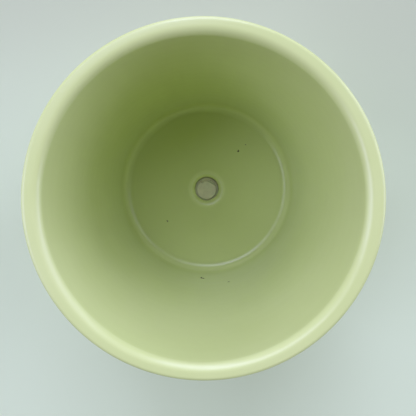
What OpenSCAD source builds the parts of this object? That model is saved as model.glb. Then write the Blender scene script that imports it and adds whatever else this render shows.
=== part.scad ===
// A round glazed ceramic pot for brushes, with a drain hole in its floor and a soft stopper that closes it.
// The origin is on the pot's axis, on the plane that its foot ring stands on. +Z is up, and sizes are in mm.

/* [Pot] */
// Outer diameter at the rim
rim_d = 110; // [92:1:150]
// Outer diameter where the wall meets the bevel above the foot ring
base_d = 86.6; // [70:0.1:104]
// Height from the foot ring to the rim
height = 104; // [60:1:180]
// Thickness of the wall, measured level
wall_t = 5.8; // [5:0.1:9]
// Thickness of the floor
floor_t = 6; // [5:0.1:10]
// Radius of the rim's outer edge
rim_outer_round = 1.3; // [0.5:0.1:2]
// Radius of the rim's inner edge
rim_inner_round = 2.8; // [1:0.1:3.5]
// Radius of the hollow corner between the wall and the floor
floor_corner_round = 3; // [1:0.1:10]

/* [Foot] */
// Height of the foot ring, which is the depth of the hollow under the floor
foot_h = 3.2; // [2.6:0.1:6]
// Width of the foot ring where it meets the table
foot_w = 4; // [2.5:0.1:8]
// How far in the bevel above the foot ring goes
bevel_in = 1.8; // [0.8:0.1:3]
// How far up the bevel above the foot ring goes
bevel_h = 2.4; // [1.2:0.1:4]
// Radius of the edge between the bevel and the wall
bevel_round = 1.2; // [0.4:0.1:3]
// Radius of both edges of the foot ring
foot_round = 0.7; // [0.3:0.1:1]
// Radius of the hollow corner inside the foot ring
recess_corner_round = 1.4; // [0.5:0.1:2]

/* [Drain hole] */
// Diameter of the drain hole
hole_d = 10.8; // [6:0.1:20]
// Radius of the hole's edge at the floor
hole_lip_round = 2.6; // [1.5:0.1:3]
// Radius of the hole's edge at the underside
hole_under_round = 0.5; // [0.2:0.1:0.8]

/* [Stopper] */
// How deep the end of the stopper's stem lies below the floor
stopper_sunk = 2; // [0.5:0.1:2.5]
// Gap all round between the stopper's stem and the hole
stem_gap = 0.7; // [0.3:0.1:1.2]
// Radius of the edge of the stem's end
stem_end_round = 0.7; // [0.3:0.1:0.9]
// Gap all round between the stopper's sealing ribs and the hole
seal_gap = 0.05; // [0.02:0.01:0.1]
// How many sealing ribs the stem has
rib_count = 2; // [1:1:2]
// Height of a sealing rib where it leaves the stem
rib_root_h = 0.9; // [0.6:0.1:1.1]
// Height of a sealing rib's edge
rib_edge_h = 0.3; // [0.2:0.1:0.5]
// How far the stopper's flange reaches past the hole
flange_reach = 3.8; // [2:0.1:8]
// Thickness of the stopper's flange
flange_t = 1.6; // [1.2:0.1:2.2]
// Radius of both edges of the flange
flange_round = 0.5; // [0.2:0.1:0.55]
// Width of the flat rim round the dish in the flange's underside
dish_rim_w = 2.4; // [1.5:0.1:4]
// Depth of the dish in the flange's underside
dish_h = 0.5; // [0.2:0.1:0.8]

/* [Hidden] */
$fn = 120;

glaze_colour = [0.81, 0.85, 0.67];
silicone_colour = [0.82, 0.83, 0.77];

base_r = base_d / 2;
foot_r = base_r - bevel_in;
recess_r = foot_r - foot_w;
floor_z = foot_h + floor_t;

// The wall's straight side runs from the bevel to touch the rim's outer arc, and goes on to rim_corner_r
// at the rim's level, where the two would meet without the arc.
rim_arc = [rim_d / 2 - rim_outer_round - base_r, height - rim_outer_round - bevel_h];
wall_angle = atan2(rim_arc[1], rim_arc[0]) - asin(rim_outer_round / norm(rim_arc));
rim_corner_r = base_r + (height - bevel_h) / tan(wall_angle);
floor_corner_r = base_r + (floor_z - bevel_h) / tan(wall_angle) - wall_t;

hole_r = hole_d / 2;
stem_r = hole_r - stem_gap;
rib_r = hole_r - seal_gap;
stem_top = floor_z - stopper_sunk;
flange_r = hole_r + flange_reach;
flange_z = foot_h - flange_t;
dish_r = flange_r - dish_rim_w;

// The ribs share the straight stretch of the hole, between its two rounded edges.
seal_z = foot_h + hole_under_round;
rib_pitch = (floor_t - hole_under_round - hole_lip_round) / rib_count;

arc_overlap = 0.0004;

function unit(v) = v / norm(v);
function turn(a, b) = a[0] * b[1] - a[1] * b[0];
function half_angle(a, b, c) = acos(unit(a - b) * unit(c - b)) / 2;

// The arc of radius r in the corner b touches the sides to a and to c: its centre, and where it meets a side.
function arc_centre(a, b, c, r) = b + unit(unit(a - b) + unit(c - b)) * r / sin(half_angle(a, b, c));
function arc_end(a, b, c, r, side) = b + unit(side - b) * r / tan(half_angle(a, b, c));

// A closed outline from its sharp corners, anticlockwise, each given as [across, up, radius of its arc].
// Each corner is first cut straight across, from one end of its arc to the other. Then half a disc fills
// out each corner that sticks out, and half a disc is taken from each that goes in. A disc reaches a
// hair past the straight sides, so that it crosses them instead of just touching them.
module rounded(outline) {
  n = len(outline);
  here = [for (p = outline) [p[0], p[1]]];
  before = [for (i = [0 : n - 1]) here[(i + n - 1) % n]];
  after = [for (i = [0 : n - 1]) here[(i + 1) % n]];
  round_r = [for (p = outline) p[2]];
  sticks_out = [for (i = [0 : n - 1]) turn(here[i] - before[i], after[i] - here[i]) > 0];

  module half_discs(out) {
    for (i = [0 : n - 1])
      if (round_r[i] > 0 && sticks_out[i] == out)
        half_disc(arc_centre(before[i], here[i], after[i], round_r[i]), here[i], round_r[i] + arc_overlap);
  }

  difference() {
    union() {
      polygon([
        for (i = [0 : n - 1])
          each round_r[i] == 0 ? [here[i]] : [
            for (side = [before[i], after[i]])
              arc_end(before[i], here[i], after[i], round_r[i], side)
          ]
      ]);
      half_discs(true);
    }
    half_discs(false);
  }
}

// The half of a disc that faces the point towards.
module half_disc(centre, towards, r) {
  facing = towards - centre;
  translate(centre)
    rotate(atan2(facing[1], facing[0]))
      intersection() {
        circle(r);
        translate([0, -2 * r])
          square([2 * r, 4 * r]);
      }
}

// The pot is one thrown and fired piece, so one outline makes its wall, rim, floor, foot ring and hole.
module pot_body() {
  color(glaze_colour)
    rotate_extrude()
      rounded([
        [recess_r, 0, foot_round],
        [foot_r, 0, foot_round],
        [base_r, bevel_h, bevel_round],
        [rim_corner_r, height, rim_outer_round],
        [rim_corner_r - wall_t, height, rim_inner_round],
        [floor_corner_r, floor_z, floor_corner_round],
        [hole_r, floor_z, hole_lip_round],
        [hole_r, foot_h, hole_under_round],
        [recess_r, foot_h, recess_corner_round],
      ]);
}

// The side of one sealing rib, a blunt ridge round the stem that the hole squeezes.
function rib_outline(middle_z) = [
  [stem_r, middle_z - rib_root_h / 2, 0],
  [rib_r, middle_z - rib_edge_h / 2, 0],
  [rib_r, middle_z + rib_edge_h / 2, 0],
  [stem_r, middle_z + rib_root_h / 2, 0],
];

// The stopper goes in from below: its flange lies against the underside, and its stem fills the hole.
// A dish in the flange's underside leaves a soft rim to lift it by.
module drain_stopper() {
  color(silicone_colour)
    rotate_extrude()
      rounded([
        [0, flange_z + dish_h, 0],
        [dish_r - dish_h, flange_z + dish_h, 0],
        [dish_r, flange_z, 0],
        [flange_r, flange_z, flange_round],
        [flange_r, foot_h, flange_round],
        [stem_r, foot_h, 0],
        for (i = [0 : rib_count - 1])
          each rib_outline(seal_z + rib_pitch * (i + 0.5)),
        [stem_r, stem_top, stem_end_round],
        [0, stem_top, 0],
      ]);
}

pot_body();
drain_stopper();
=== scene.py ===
# %% [markdown]
# # A glazed pot for brushes
#
# The real pot is clay, turned on a wheel, dipped in a pale green glaze and fired in one piece. A soft
# stopper closes the drain hole in its floor. This file makes how the two pieces look, around a model
# that already holds their sizes. The first cell loads that model. Lengths are in metres, and `MM`
# turns millimetres into metres.

# %% Load the model
import math

import bmesh
import bpy
from mathutils import Matrix, Vector, noise


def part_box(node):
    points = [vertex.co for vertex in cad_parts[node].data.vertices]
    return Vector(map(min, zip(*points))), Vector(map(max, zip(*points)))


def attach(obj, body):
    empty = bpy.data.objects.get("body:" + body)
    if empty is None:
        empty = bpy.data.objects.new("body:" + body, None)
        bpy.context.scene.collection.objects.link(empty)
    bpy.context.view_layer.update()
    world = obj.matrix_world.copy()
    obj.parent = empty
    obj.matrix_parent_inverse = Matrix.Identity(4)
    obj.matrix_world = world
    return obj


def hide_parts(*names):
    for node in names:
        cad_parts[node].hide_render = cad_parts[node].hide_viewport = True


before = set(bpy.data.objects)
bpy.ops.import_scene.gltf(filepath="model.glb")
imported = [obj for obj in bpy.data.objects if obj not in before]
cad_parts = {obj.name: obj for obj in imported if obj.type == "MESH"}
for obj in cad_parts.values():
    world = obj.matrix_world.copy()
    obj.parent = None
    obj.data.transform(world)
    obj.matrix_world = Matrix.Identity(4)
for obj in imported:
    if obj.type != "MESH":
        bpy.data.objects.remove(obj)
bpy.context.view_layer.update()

MM = 0.001
rim_radius, rim_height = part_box("pot_body")[1].xz
stopper_low, stopper_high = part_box("drain_stopper")
print(f"The pot is {2 * rim_radius / MM:.0f} mm across and {rim_height / MM:.0f} mm high")

# %% [markdown]
# ## The camera
#
# The eye is close above the mouth, a little off the axis, and looks down to a point of the floor. At
# this distance the floor looks less than half as wide as the rim. The helper builds the turn from
# three directions instead of three angles, because angles are hard to read when a camera looks
# straight down. The lamps use it again further on.

# %% Camera
EYE = Vector((3.2 * MM, 11.9 * MM, rim_height + 168.2 * MM))
AIM = Vector((0.6 * MM, -9.0 * MM, 9.2 * MM))
LENS = 48.75


def place_facing(thing, place, target, up):
    """Put a camera or a lamp at place, facing target, with up towards the top of its view."""
    ahead = (target - place).normalized()
    right = ahead.cross(up).normalized()
    turn = Matrix((right, right.cross(ahead), -ahead)).transposed()
    thing.matrix_world = Matrix.Translation(place) @ turn.to_4x4()


def make_camera():
    """Make the camera and let the scene look through it."""
    data = bpy.data.cameras.new("eye")
    data.lens = LENS
    data.clip_start = 10 * MM
    camera = bpy.data.objects.new("eye", data)
    bpy.context.scene.collection.objects.link(camera)
    place_facing(camera, EYE, AIM, Vector((0, 1, 0)))
    bpy.context.scene.camera = camera
    print(f"The camera is {EYE.z / MM:.0f} mm above the table")


make_camera()

# %% [markdown]
# ## The outline of a turned piece
#
# A turned piece is one outline swept round an axis, so its outline is all that has to be known. It
# could be drawn again from its sizes, but the model already has it: a flat cut through the axis
# leaves the outline as a chain of edges. The loose triangles are welded first, because a cut through
# unwelded triangles leaves gaps. Two cuts are made, one along the axis and one across it, so that
# only the half to the right of the axis is left.

# %% Cut the outline
WELD = 0.001 * MM


def cut_outline(name):
    """The outline of a turned piece of the model, as a bmesh that holds only edges."""
    bm = bmesh.new()
    bm.from_mesh(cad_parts[name].data)
    bmesh.ops.remove_doubles(bm, verts=bm.verts, dist=WELD)
    for across in ((0, 1, 0), (1, 0, 0)):
        everything = bm.verts[:] + bm.edges[:] + bm.faces[:]
        bmesh.ops.bisect_plane(
            bm, geom=everything, dist=WELD, plane_co=(0, 0, 0), plane_no=across, clear_inner=True
        )
    behind = [v for v in bm.verts if v.co.y > WELD]
    bmesh.ops.delete(bm, geom=behind, context="VERTS")
    print(f"{name}: an outline of {len(bm.edges)} edges")
    return bm


def split_edges(bm, longest, lowest=-math.inf, highest=math.inf):
    """Split the edges between two heights until none is longer than longest."""
    for edge in bm.edges[:]:
        middle = (edge.verts[0].co.z + edge.verts[1].co.z) / 2
        cuts = int(edge.calc_length() / longest)
        if cuts and lowest < middle < highest:
            bmesh.ops.subdivide_edges(bm, edges=[edge], cuts=cuts)


# %% [markdown]
# ## Turning the outline
#
# Blender's spin is the potter's wheel: it sweeps the outline round the axis in equal steps. A full
# turn ends where it began, so the first and last outlines are merged. Points on the axis land on
# each other too, and welding closes them into a pole. The faces may come out facing inwards, so
# their normals are worked out again. A finished piece keeps its place in its mesh, is shaded smooth
# and is told which body it moves with.

# %% Turn on the wheel
def turn_on_wheel(bm, steps):
    """Sweep the outline a full turn about the axis and close the seam and the poles."""
    bmesh.ops.spin(
        bm, geom=bm.verts[:] + bm.edges[:], cent=(0, 0, 0), axis=(0, 0, 1),
        angle=math.tau, steps=steps, use_merge=True,
    )
    bmesh.ops.remove_doubles(bm, verts=bm.verts, dist=WELD)
    bmesh.ops.recalc_face_normals(bm, faces=bm.faces)
    bm.normal_update()


def finish_piece(bm, name, material, body, replaced):
    """Turn a bmesh into a smooth piece that moves with a body and stands for a piece of the model."""
    mesh = bpy.data.meshes.new(name)
    bm.to_mesh(mesh)
    bm.free()
    mesh.shade_smooth()
    mesh.materials.append(material)
    piece = bpy.data.objects.new(name, mesh)
    bpy.context.scene.collection.objects.link(piece)
    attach(piece, body)
    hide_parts(replaced)
    print(f"{name}: {len(mesh.polygons)} faces")


def ease(value, start, end):
    """0 below start, 1 above end, and a smooth rise between them."""
    part = min(max((value - start) / (end - start), 0), 1)
    return part * part * (3 - 2 * part)


def hump(value, middle, width):
    """1 at middle, falling away smoothly to 0 on both sides of it."""
    return math.exp(-(((value - middle) / width) ** 2))


# %% [markdown]
# ## Marks of the wheel
#
# A thrown pot is never quite as true as its drawing. The wall wavers by a tenth of a millimetre, the
# fingers leave a faint spiral inside, and the rim is a little narrower on its near and far sides. A
# bump in the material could fake the waver, but these are real shapes in the mesh, so that light and
# the pot's outline bend with them. Each mark fades out towards the foot, which stays true.

# %% Marks of the wheel
WAVER_DEPTH = 0.12 * MM
WAVER_SPREAD = 38 * MM
WAVER_RISE = (4 * MM, 25 * MM)
THINNED_BY = 0.5 * MM
THINNED_RISE = (60 * MM, 96 * MM)
THINNED_TO = (rim_radius - 3.2 * MM, rim_radius - 1.2 * MM)
RING_PITCH = 5.5 * MM
RING_DEPTH = 0.012 * MM
RING_RISE = (12 * MM, 30 * MM)


def waver(bm):
    """Let the wall waver a little, but keep the foot true so that the pot stands level."""
    for v in bm.verts:
        steady = ease(v.co.z, *WAVER_RISE)
        v.co += v.normal * (WAVER_DEPTH * steady * noise.noise(v.co / WAVER_SPREAD))


def thin_rim(bm):
    """Make the rim narrower on its near and far sides, by moving its inner edge outwards."""
    for v in bm.verts:
        radius = v.co.xy.length
        if v.co.z > THINNED_RISE[0]:
            near_or_far = abs(v.co.y / radius) ** 2.5
            inner = 1 - ease(radius, *THINNED_TO)
            reach = THINNED_BY * near_or_far * inner * ease(v.co.z, *THINNED_RISE)
            v.co.xy *= 1 + reach / radius


def finger_rings(bm):
    """Wind a faint spiral groove up the inside of the wall."""
    for v in bm.verts:
        outward = v.co.xy.normalized().dot(v.normal.xy)
        if outward < -0.8 and v.co.z > RING_RISE[0]:
            turns = v.co.z / RING_PITCH + math.atan2(v.co.y, v.co.x) / math.tau
            v.co += v.normal * (RING_DEPTH * ease(v.co.z, *RING_RISE) * math.cos(turns * math.tau))


print(f"The fingers went round {rim_height / RING_PITCH:.0f} times on the way up")

# %% [markdown]
# ## Where the glaze fills and where it ends
#
# The pot was dipped, and the wet glaze filled the corner of the floor to a rounder one and gathered
# unevenly round the drain hole. It was then wiped off the foot ring, where the pot would stick to
# the kiln shelf, and it stops above the foot in a soft roll whose height wanders with the angle. The
# points on the bare clay are marked with an attribute called `bare`, which the material reads later.

# %% Glaze in the corner and at the foot
FLOOR_HEIGHT = 9.2 * MM
FLOOR_EDGE = 38.3 * MM
WALL_LEAN = math.radians(6.7)
CORNER_ROUND = 4.0 * MM
CORNER_REACH = 1.6 * CORNER_ROUND
LIP_NEAR = (5.6 * MM, 9 * MM)
LIP_UNEVEN = 0.16 * MM
FOOT_RING_INNER = 36.6 * MM
FOOT_TOP = 8 * MM
GLAZE_LINE = 3.7 * MM
GLAZE_WANDER = 0.35 * MM
GLAZE_THICK = 0.22 * MM
ROLL_THICK = 0.05 * MM
ROLL_ABOVE = 0.6 * MM
ROLL_WIDTH = 0.5 * MM


def fill_corner(bm):
    """Fill the corner between floor and wall, by moving what lies past an arc onto the arc."""
    arc_radius = FLOOR_EDGE - CORNER_ROUND * math.tan((math.pi / 2 - WALL_LEAN) / 2)
    arc_height = FLOOR_HEIGHT + CORNER_ROUND
    for v in bm.verts:
        radius = v.co.xy.length
        across, down = radius - arc_radius, arc_height - v.co.z
        away = math.hypot(across, down)
        inside = across > 0 and down > 0 and v.co.z > 9 * MM
        if inside and CORNER_ROUND < away < CORNER_REACH:
            v.co.xy *= (arc_radius + across * CORNER_ROUND / away) / radius
            v.co.z = arc_height - down * CORNER_ROUND / away


def soften_hole(bm):
    """Let the glaze gather unevenly round the edge of the drain hole."""
    for v in bm.verts:
        near = 1 - ease(v.co.xy.length, *LIP_NEAR)
        if v.co.z > 6 * MM and near > 0:
            v.co += v.normal * (LIP_UNEVEN * near * noise.noise(v.co.normalized() * 5))


def wipe_foot(bm):
    """Take the glaze off the foot ring, and leave a soft roll where it ends."""
    bare = bm.verts.layers.float.new("bare")
    for v in bm.verts:
        if v.co.xy.length < FOOT_RING_INNER or v.co.z > FOOT_TOP:
            continue
        line = GLAZE_LINE + GLAZE_WANDER * noise.noise(v.co.normalized() * 4)
        v[bare] = 1 - ease(v.co.z, line - 0.25 * MM, line + 0.1 * MM)
        wiped = 1 - ease(v.co.z, line - 0.1 * MM, line + 0.5 * MM)
        roll = hump(v.co.z, line + ROLL_ABOVE, ROLL_WIDTH)
        sideways = Vector((v.normal.x, v.normal.y, 0))
        v.co += sideways * (ROLL_THICK * roll - GLAZE_THICK * wiped)


print(f"The glaze stops about {GLAZE_LINE / MM:.1f} mm above the table")

# %% [markdown]
# ## Where the glaze runs thick
#
# Molten glaze leaves sharp edges and gathers in hollows. To know which is which, the whole mesh is
# smoothed for a moment: smoothing fills a hollow and planes down an edge, so how far each point
# moves along its normal says how hollow the place is. The points then go back, and the measure
# stays on them as an attribute called `hollow`, in millimetres. The floor
# and the top of the rim are made a deeper green on top of that, partly because glaze lies deeper on
# what is level and partly as painted shade, and the lip of the hole runs thin. The bottom of the
# inner wall is made paler, as painted light that lifts its shade. Bending doesn't tell these, so
# they are added by place.

# %% Measure the hollows, with painted light and shade
# The floor and the rim's top go a deeper green: partly glaze lying deeper, partly painted shade.
FLOOR_POOLING_AND_PAINTED_SHADE = 0.30
FLOOR_SIDE = (36 * MM, 38 * MM)
INSIDE_LOW = 12 * MM
RIM_POOLING_AND_PAINTED_SHADE = 0.16
LIP_THINNING = 0.36
LIP_RADIUS = 7.2 * MM
LIP_WIDTH = 1.1 * MM
# Painted light: the bottom of the inner wall is made paler, lifting its shade.
LOW_WALL_PAINTED_LIGHT = 0.13
LOW_WALL_PAINTED_LIGHT_FADE = (22 * MM, 75 * MM)
SMOOTHINGS = 12


def on_floor(place, normal):
    """1 on the floor inside, fading to 0 where the corner meets the wall."""
    if place.z > INSIDE_LOW or normal.z < 0.3:
        return 0
    return 1 - ease(place.xy.length, *FLOOR_SIDE)


def on_rim(place, normal):
    """1 on the level top of the rim, fading to 0 on its rounded edges."""
    return ease(normal.z, 0.85, 0.98) if place.z > rim_height - 1 * MM else 0


def on_lip(place):
    """1 on the lip of the drain hole, fading to 0 on both sides of it."""
    return hump(place.xy.length, LIP_RADIUS, LIP_WIDTH) if 6 * MM < place.z < 10 * MM else 0


def low_on_wall(place, normal):
    """1 at the bottom of the inner wall, fading to 0 a good way up it: where painted light goes."""
    inward = -normal.xy.dot(place.xy.normalized())
    return ease(inward, 0.6, 0.95) * (1 - ease(place.z, *LOW_WALL_PAINTED_LIGHT_FADE))


def measure_hollows(bm):
    """Note how deep the glaze lies, above 0 in hollows and below 0 on edges, plus painted light and
    shade.
    """
    hollow = bm.verts.layers.float.new("hollow")
    bm.normal_update()
    before = [(v, v.co.copy(), v.normal.copy()) for v in bm.verts]
    for _ in range(SMOOTHINGS):
        bmesh.ops.smooth_vert(
            bm, verts=bm.verts, factor=0.5, use_axis_x=True, use_axis_y=True, use_axis_z=True
        )
    for v, place, normal in before:
        v[hollow] = (v.co - place).dot(normal) / MM
        v.co = place
        # Painted shade, partly real pooling: the floor and the rim's top get a deeper green.
        v[hollow] += FLOOR_POOLING_AND_PAINTED_SHADE * on_floor(place, normal) + RIM_POOLING_AND_PAINTED_SHADE * on_rim(place, normal)
        # Painted light: the bottom of the inner wall is made paler. The lip of the hole runs thin.
        v[hollow] -= LIP_THINNING * on_lip(place) + LOW_WALL_PAINTED_LIGHT * low_on_wall(place, normal)
    values = [v[hollow] for v in bm.verts]
    print(f"The glaze is measured from {min(values):.2f} on edges to {max(values):.2f} in hollows")


# %% [markdown]
# ## Helpers for materials
#
# A material is a small machine of nodes. Added by hand, each node takes a line to make it, a line
# for each of its settings and a line for each link. The helper `node` does all of that in one call,
# so that a recipe reads from top to bottom. The others stand for the nodes used most: sums, mixed
# colours and smooth ramps.

# %% Node helpers
def node(tree, kind, feeds=None, **settings):
    """Add a node with these settings. Each feed is a socket to link from, or a value to set."""
    # The settings come first, because a node's inputs can depend on them.
    made = tree.nodes.new("ShaderNode" + kind)
    for name, value in settings.items():
        setattr(made, name, value)
    for key, value in (feeds or {}).items():
        if isinstance(value, bpy.types.NodeSocket):
            tree.links.new(value, made.inputs[key])
        else:
            made.inputs[key].default_value = value
    return made


def math_node(tree, operation, *values):
    """One sum, such as ADD or MULTIPLY, of sockets or numbers."""
    return node(tree, "Math", dict(enumerate(values)), operation=operation).outputs[0]


def mix_colours(tree, mask, low, high):
    """Low where the mask is 0 and high where it is 1."""
    return node(tree, "Mix", {0: mask, 6: low, 7: high}, data_type="RGBA").outputs[2]


def fade(tree, value, start, end, low=0.0, high=1.0):
    """Low up to start, high from end, and a smooth change between them."""
    feeds = {"Value": value, "From Min": start, "From Max": end, "To Min": low, "To Max": high}
    return node(tree, "MapRange", feeds, interpolation_type="SMOOTHSTEP").outputs[0]


def cloud_noise(tree, coordinates, scale, detail):
    """Cloudy noise around 0.5, finer for a larger scale."""
    return node(tree, "TexNoise", {"Vector": coordinates, "Scale": scale, "Detail": detail}).outputs[0]


# %% [markdown]
# ## Groups and materials
#
# A group is a machine of its own, with named inputs and one output, that several materials can use
# with their own values. `new_group` starts one and `use_group` places it in a material. A material
# keeps its shader itself, and reads the coordinates of the object, so that its pattern is carved
# into the piece and doesn't slide over it.

# %% Group and material helpers
def new_group(name, inputs):
    """Start a group that puts out a mask. Returns the group, its inputs by name, and its output."""
    group = bpy.data.node_groups.new(name, "ShaderNodeTree")
    for label, kind, value in inputs:
        socket = group.interface.new_socket(label, in_out="INPUT", socket_type="NodeSocket" + kind)
        if value is not None:
            socket.default_value = value
    group.interface.new_socket("Mask", in_out="OUTPUT", socket_type="NodeSocketFloat")
    entry = group.nodes.new("NodeGroupInput")
    way_out = group.nodes.new("NodeGroupOutput")
    return group, entry.outputs, way_out.inputs["Mask"]


def use_group(tree, group, feeds):
    """Place a group in a tree and return its mask."""
    return node(tree, "Group", feeds, node_tree=group).outputs[0]


def new_material(name):
    """An empty material with its shader. Returns the material, its tree, shader and coordinates."""
    material = bpy.data.materials.new(name)
    material.use_nodes = True
    tree = material.node_tree
    tree.nodes.clear()
    shader = node(tree, "BsdfPrincipled")
    node(tree, "OutputMaterial", {"Surface": shader.outputs[0]})
    coordinates = node(tree, "TexCoord").outputs["Object"]
    return material, tree, shader, coordinates


# %% [markdown]
# ## Effects that the materials share
#
# Three effects turn up on more than one surface or in more than one place. `drift` is a slow, cloudy
# change of tone. `fleck` is one dark spot at a chosen place, with a ragged edge, such as iron in the
# glaze. `peppering` scatters tiny spots everywhere: it looks for the points nearest to a lattice of
# random points, and a second random number drops most of them, so that few are left.

# %% Shared effects
def make_drift():
    """Slow clouds, about as wide as Size."""
    group, feed, mask = new_group(
        "drift", [("Vector", "Vector", None), ("Size", "Float", 0.03), ("Detail", "Float", 3.0)]
    )
    scale = math_node(group, "DIVIDE", 1.0, feed["Size"])
    clouds = cloud_noise(group, feed["Vector"], scale, feed["Detail"])
    group.links.new(fade(group, clouds, 0.3, 0.7), mask)
    return group


def make_fleck():
    """One ragged spot of about Radius around Place."""
    group, feed, mask = new_group(
        "fleck", [("Vector", "Vector", None), ("Place", "Vector", None), ("Radius", "Float", 0.0005)]
    )
    ragged = fade(group, cloud_noise(group, feed["Vector"], 2200.0, 1.0), 0.3, 0.7, 0.6, 1.5)
    away = node(group, "VectorMath", {0: feed["Vector"], 1: feed["Place"]}, operation="DISTANCE")
    reach = math_node(group, "MULTIPLY", feed["Radius"], ragged)
    inside = math_node(group, "DIVIDE", away.outputs["Value"], reach)
    group.links.new(fade(group, inside, 0.6, 1.1, 1.0, 0.0), mask)
    return group


def make_peppering():
    """Spots on a share of the points of a random lattice, each up to Size of the spacing."""
    group, feed, mask = new_group(
        "peppering",
        [("Vector", "Vector", None), ("Spacing", "Float", 0.005), ("Size", "Float", 0.05),
         ("Share", "Float", 0.1)],
    )
    scale = math_node(group, "DIVIDE", 1.0, feed["Spacing"])
    lattice = node(group, "TexVoronoi", {"Vector": feed["Vector"], "Scale": scale})
    lot = node(group, "SeparateColor", {0: lattice.outputs["Color"]}).outputs
    chosen = math_node(group, "LESS_THAN", lot[0], feed["Share"])
    reach = math_node(group, "MULTIPLY", feed["Size"], fade(group, lot[1], 0.0, 1.0, 0.3, 1.0))
    inside = math_node(group, "DIVIDE", lattice.outputs["Distance"], reach)
    spot = fade(group, inside, 0.6, 1.0, 1.0, 0.0)
    group.links.new(math_node(group, "MULTIPLY", spot, chosen), mask)
    return group


drift = make_drift()
fleck = make_fleck()
peppering = make_peppering()
print("Shared effects:", ", ".join(group.name for group in bpy.data.node_groups))

# %% [markdown]
# ## The glaze's colour
#
# Celadon glaze is a thin coloured glass over pale clay: where it runs thin on an edge the clay shows
# through and it looks paler, and where it gathers in a hollow it is a deeper green. It could be made
# as real glass over clay, but that is slow and noisy, so the base colour runs from thin to full to
# pooled along the `hollow` attribute. The same colours also carry painted
# shade, the deeper green on the floor and the rim's top, and painted light, the paler green low on
# the inner wall. Iron in the clay burns through as specks: a few at chosen places, given in
# millimetres, and a faint peppering all over.

# %% Glaze colour
# The thin colour is also painted light low on the inner wall; the pooled one is also painted shade.
THIN_GLAZE_AND_PAINTED_LIGHT = (0.635, 0.705, 0.42, 1)
FULL_GLAZE = (0.60, 0.685, 0.28, 1)
PALER_GLAZE = (0.62, 0.70, 0.30, 1)
POOLED_GLAZE_AND_PAINTED_SHADE = (0.535, 0.625, 0.23, 1)
IRON = (0.045, 0.040, 0.025, 1)
FAINT_IRON = (0.20, 0.22, 0.11, 1)
THIN_AND_PAINTED_LIGHT_RANGE = (-0.30, -0.04)
POOLED_AND_PAINTED_SHADE_RANGE = (0.06, 0.35)

FLECKS = [
    (FAINT_IRON, (-18.5, -15.2, 9.2), 0.45),
    (FAINT_IRON, (9.8, -39.5, 30.1), 0.5),
    (FAINT_IRON, (18.0, 20.5, 9.2), 0.35),
    (IRON, (14.7, 17.6, 9.2), 0.5),
    (IRON, (-2.3, -39.6, 21.0), 0.75),
    (IRON, (-1.4, -39.7, 21.8), 0.55),
]


def glaze_colour(tree, coordinates):
    """The colour of the glaze by its depth and its painted light and shade, with slow drift and
    specks.
    """
    hollow = node(tree, "Attribute", attribute_name="hollow").outputs["Fac"]
    cloudy = use_group(tree, drift, {"Vector": coordinates, "Size": 35 * MM})
    colour = mix_colours(tree, cloudy, FULL_GLAZE, PALER_GLAZE)
    # Thin glaze on edges, and painted light at the bottom of the inner wall.
    colour = mix_colours(tree, fade(tree, hollow, *THIN_AND_PAINTED_LIGHT_RANGE, 1.0, 0.0), colour, THIN_GLAZE_AND_PAINTED_LIGHT)
    # Pooled glaze in hollows, and painted shade on the floor and the rim's top.
    colour = mix_colours(tree, fade(tree, hollow, *POOLED_AND_PAINTED_SHADE_RANGE), colour, POOLED_GLAZE_AND_PAINTED_SHADE)
    pepper = use_group(
        tree, peppering, {"Vector": coordinates, "Spacing": 7.5 * MM, "Size": 0.035, "Share": 0.10}
    )
    colour = mix_colours(tree, pepper, colour, FAINT_IRON)
    for paint, place, radius in FLECKS:
        feeds = {"Vector": coordinates, "Place": Vector(place) * MM, "Radius": radius * MM}
        colour = mix_colours(tree, use_group(tree, fleck, feeds), colour, paint)
    return colour


print(f"The glaze has {len(FLECKS)} flecks of iron at chosen places")

# %% [markdown]
# ## The glaze's surface and the bare clay
#
# The fired surface is a satin gloss, with a slow waviness and a fine peel like an orange's that
# soften what it reflects. The roughness drifts only a little, because a glaze that was dipped in one
# go has no matt patches. The bare clay of the foot is gritty and dull. It is part of the same
# material, chosen by the `bare` attribute, because the clay and its glaze are one piece.

# %% Glaze
BARE_CLAY = (0.72, 0.655, 0.385, 1)
CLAY_GRIT = (0.60, 0.53, 0.305, 1)
SATIN_ROUGHNESS = (0.225, 0.265)
CLAY_ROUGHNESS = 0.9
PEEL_SHARE = 0.3
GRIT_SHARE = 3.0


def make_glaze():
    """The glaze, and the bare clay on the foot ring, in one material."""
    material, tree, shader, coordinates = new_material("celadon glaze")
    bare = node(tree, "Attribute", attribute_name="bare").outputs["Fac"]
    grit = cloud_noise(tree, coordinates, 1500.0, 4.0)
    clay = mix_colours(tree, fade(tree, grit, 0.35, 0.7), BARE_CLAY, CLAY_GRIT)
    colour = mix_colours(tree, bare, glaze_colour(tree, coordinates), clay)
    tree.links.new(colour, shader.inputs["Base Color"])

    cloudy = use_group(tree, drift, {"Vector": coordinates, "Size": 20 * MM})
    satin = fade(tree, cloudy, 0.0, 1.0, *SATIN_ROUGHNESS)
    rough = node(tree, "Mix", {0: bare, 2: satin, 3: CLAY_ROUGHNESS}, data_type="FLOAT").outputs[0]
    tree.links.new(rough, shader.inputs["Roughness"])

    slow = cloud_noise(tree, coordinates, 120.0, 2.0)
    peel = cloud_noise(tree, coordinates, 900.0, 1.0)
    wavy = math_node(tree, "MULTIPLY_ADD", peel, PEEL_SHARE, slow)
    grit_on_clay = math_node(tree, "MULTIPLY", grit, bare)
    rugged = math_node(tree, "MULTIPLY_ADD", grit_on_clay, GRIT_SHARE, wavy)
    bump = node(tree, "Bump", {"Height": rugged, "Strength": 0.25, "Distance": 0.03 * MM})
    tree.links.new(bump.outputs[0], shader.inputs["Normal"])
    print(f"{material.name}: {len(tree.nodes)} nodes")
    return material


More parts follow.
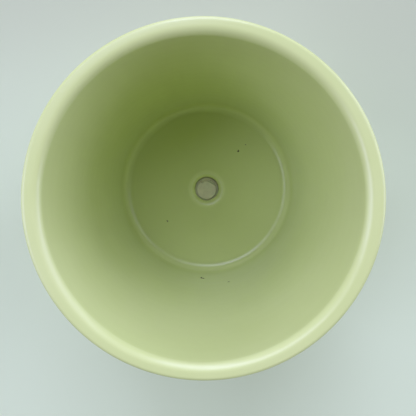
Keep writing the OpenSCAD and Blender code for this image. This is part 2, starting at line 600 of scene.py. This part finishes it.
# %% [markdown]
# ## Making the pot
#
# The cut outline is dense where it is round and has long straight runs elsewhere, so the runs are
# split before turning, and finely so around the glaze line and the corner of the floor. Then the
# glaze and the marks of making go on, and last the hollows are measured on the final shape.

# %% Pot
POT_STEPS = 256


def make_pot():
    """Turn the pot, mark it, and finish it with its glaze."""
    bm = cut_outline("pot_body")
    split_edges(bm, 0.3 * MM, 2.6 * MM, 6 * MM)
    split_edges(bm, 0.5 * MM, 9 * MM, 15 * MM)
    split_edges(bm, 2 * MM)
    turn_on_wheel(bm, POT_STEPS)
    fill_corner(bm)
    waver(bm)
    thin_rim(bm)
    finger_rings(bm)
    wipe_foot(bm)
    soften_hole(bm)
    measure_hollows(bm)
    finish_piece(bm, "glazed_pot", make_glaze(), "pot", "pot_body")


make_pot()

# %% [markdown]
# ## The stopper's shape
#
# The stopper is moulded silicone. Its flange lies flat under the pot's floor, and its stem is pushed
# up into the hole, where it leans a little to one side. Its end is torn, as soft plugs tear when
# they are pulled out and pushed back: a groove with a notch in it runs across the end, and the
# sliver behind it lies lower than the rest. The groove is pressed into a fine mesh instead of cut
# out of it, because a cut would leave open edges to be closed.

# %% Stopper shape
FLANGE_TOP = stopper_low.z + 1.6 * MM
STEM_LEAN = Vector((-0.1 * MM, -0.42 * MM, 0))
TEAR_STEP = 0.45 * MM
TEAR_GROOVE = 0.7 * MM
TEAR_WIDTH = 0.22 * MM
TEAR_PLACE = 4.2 * MM
TEAR_SLANT = 0.55
NOTCH = 0.9 * MM
SWELLING = 0.12 * MM


def tear_line(x):
    """How far back the tear lies at x, with its slant, its notch and its ragged edge."""
    notch = NOTCH * hump(x, -2.1 * MM, 0.7 * MM)
    ragged = 0.15 * MM * noise.noise(Vector((x / (0.8 * MM), 0, 0)))
    return TEAR_PLACE - TEAR_SLANT * max(x - 0.3 * MM, 0) - notch + ragged


def tear_end(bm):
    """Press a groove across the end, and lower the sliver behind it a little."""
    for v in bm.verts:
        if v.co.z > stopper_high.z - 0.9 * MM:
            past = v.co.y - tear_line(v.co.x)
            v.co.z -= TEAR_STEP * ease(past, -0.12 * MM, 0.12 * MM)
            v.co.z -= TEAR_GROOVE * hump(past, 0, TEAR_WIDTH)


def lean_stem(bm):
    """Push the stem's end to one side and leave the flange where it is."""
    for v in bm.verts:
        v.co += STEM_LEAN * ease(v.co.z, FLANGE_TOP, stopper_high.z)


def dome_end(bm):
    """Let the end swell a little in its middle, where the squeezed ribs push it up."""
    for v in bm.verts:
        if v.co.z > stopper_high.z - 0.2 * MM:
            v.co.z += SWELLING * (1 - ease(v.co.xy.length, 0, 4 * MM))


print(f"The stopper is {(stopper_high.z - stopper_low.z) / MM:.1f} mm high")

# %% [markdown]
# ## Silicone
#
# Silicone is dull and a little see-through, and it holds on to dust. The colour is a pale straw grey
# that drifts between two close tones, with dark grains on top. A little light passes under the skin,
# which keeps the shaded side from going dead, and a fine pebbling breaks up what shine there is.

# %% Silicone
DUSTY_SILICONE = (0.58, 0.57, 0.38, 1)
CLEAN_SILICONE = (0.66, 0.65, 0.45, 1)
GRAIN = (0.30, 0.31, 0.24, 1)


def make_silicone():
    """The stopper's dull, dusty silicone."""
    material, tree, shader, coordinates = new_material("stopper silicone")
    cloudy = use_group(tree, drift, {"Vector": coordinates, "Size": 2.5 * MM})
    colour = mix_colours(tree, cloudy, DUSTY_SILICONE, CLEAN_SILICONE)
    grains = use_group(
        tree, peppering, {"Vector": coordinates, "Spacing": 1.2 * MM, "Size": 0.12, "Share": 0.16}
    )
    colour = mix_colours(tree, grains, colour, GRAIN)
    tree.links.new(colour, shader.inputs["Base Color"])
    tree.links.new(fade(tree, cloudy, 0.0, 1.0, 0.55, 0.72), shader.inputs["Roughness"])
    shader.inputs["Subsurface Weight"].default_value = 0.15
    shader.inputs["Subsurface Scale"].default_value = 0.6 * MM
    pebbled = cloud_noise(tree, coordinates, 1400.0, 3.0)
    bump = node(tree, "Bump", {"Height": pebbled, "Strength": 0.5, "Distance": 0.1 * MM})
    tree.links.new(bump.outputs[0], shader.inputs["Normal"])
    print(f"{material.name}: {len(tree.nodes)} nodes")
    return material


# %% [markdown]
# ## Making the stopper
#
# The stopper is turned as the pot is. Its end is split very finely, because the tear across it is
# only a fifth of a millimetre wide. The end swells and tears before the stem leans, so that the
# groove leans with it.

# %% Stopper
STOPPER_STEPS = 192


def make_stopper():
    """Turn the stopper, tear and lean it, and finish it in silicone."""
    bm = cut_outline("drain_stopper")
    split_edges(bm, 0.13 * MM, stopper_high.z - 0.1 * MM)
    split_edges(bm, 0.25 * MM)
    turn_on_wheel(bm, STOPPER_STEPS)
    dome_end(bm)
    tear_end(bm)
    lean_stem(bm)
    finish_piece(
        bm, "silicone_stopper", make_silicone(), "stopper", "drain_stopper"
    )


make_stopper()

# %% [markdown]
# ## The table
#
# The pot stands on a plain pale table with painted shade: it is a little darker towards its far
# half. It is one large square and isn't part of the object.

# %% Table
NEAR_PAINT = (0.605, 0.70, 0.465, 1)
# Painted shade: the colour of the table's far half.
FAR_PAINTED_SHADE = (0.465, 0.515, 0.335, 1)
TABLE_HALF = 4


def make_table():
    """Make the table, which isn't part of the object."""
    material, tree, shader, coordinates = new_material("table paint with painted shade")
    across = node(tree, "SeparateXYZ", {0: coordinates}).outputs["Y"]
    # Painted shade: the table darkens towards its far half.
    colour = mix_colours(tree, fade(tree, across, 0.0, 0.1), NEAR_PAINT, FAR_PAINTED_SHADE)
    tree.links.new(colour, shader.inputs["Base Color"])
    shader.inputs["Roughness"].default_value = 0.6
    bm = bmesh.new()
    bmesh.ops.create_grid(bm, x_segments=1, y_segments=1, size=TABLE_HALF)
    mesh = bpy.data.meshes.new("table")
    bm.to_mesh(mesh)
    bm.free()
    mesh.materials.append(material)
    table = bpy.data.objects.new("table", mesh)
    bpy.context.scene.collection.objects.link(table)
    print(f"The table is {2 * TABLE_HALF} m wide")


make_table()

# %% [markdown]
# ## The lamps
#
# Eight soft square lamps stand in a wide ring. The low ones draw the bright lines along the rim's
# edges, and the high ones reach down to the floor. One lamp would be simpler, but a deep pot lit from
# one side is half black inside. All are a little blue, as daylight through a window is.

# %% Lamps
LAMP_DISTANCE = 3.0
LAMP_SIZE = 1.6
LAMP_COLOUR = (1.0, 1.0, 1.55)

# Each lamp's name, its side and its height in degrees, and its power in watts.
LAMPS = [
    ("low right", 0, 15, 21),
    ("low far right", 30, 15, 16),
    ("high right", 25, 48, 13),
    ("high far", 90, 40, 30),
    ("low far", 90, 10, 17),
    ("low left", 180, 13, 12.5),
    ("high left", 189, 46, 27),
    ("top", 118, 60, 22.5),
]


def make_lamp(name, side, height, power):
    """A square soft lamp that faces the middle of the rim."""
    data = bpy.data.lights.new(name, "AREA")
    data.shape = "SQUARE"
    data.size = LAMP_SIZE
    data.energy = power
    data.color = LAMP_COLOUR
    lamp = bpy.data.objects.new(name, data)
    bpy.context.scene.collection.objects.link(lamp)
    side, height = math.radians(side), math.radians(height)
    level = math.cos(height)
    away = Vector((level * math.cos(side), level * math.sin(side), math.sin(height)))
    middle = Vector((0, 0, rim_height))
    place_facing(lamp, middle + LAMP_DISTANCE * away, middle, Vector((0, 0, 1)))


for lamp_values in LAMPS:
    make_lamp(*lamp_values)
print(f"{len(LAMPS)} lamps stand {LAMP_DISTANCE:.0f} m from the pot")

# %% [markdown]
# ## The sky
#
# A dim sky fills the shadows from all sides. The camera sees a paler backdrop in its place, so that
# the pot stands out in side views too. The backdrop could be a wall, but a wall would throw light
# back onto the pot and stand in the way of the lamps.

# %% Sky
FILL_SKY = (1.0, 1.0, 0.8, 1)
FILL_STRENGTH = 0.18
BACKDROP = (0.66, 0.71, 0.69, 1)


def make_sky():
    """A dim sky that lights the scene, and a paler one that only the camera sees."""
    world = bpy.data.worlds.new("sky")
    bpy.context.scene.world = world
    world.use_nodes = True
    tree = world.node_tree
    tree.nodes.clear()
    dim = node(tree, "Background", {"Color": FILL_SKY, "Strength": FILL_STRENGTH})
    seen = node(tree, "Background", {"Color": BACKDROP, "Strength": 1.0})
    straight = node(tree, "LightPath").outputs["Is Camera Ray"]
    either = node(tree, "MixShader", {0: straight, 1: dim.outputs[0], 2: seen.outputs[0]})
    node(tree, "OutputWorld", {"Surface": either.outputs[0]})
    print(f"The sky has {len(tree.nodes)} nodes")


make_sky()
bpy.context.scene.view_settings.view_transform = "Standard"
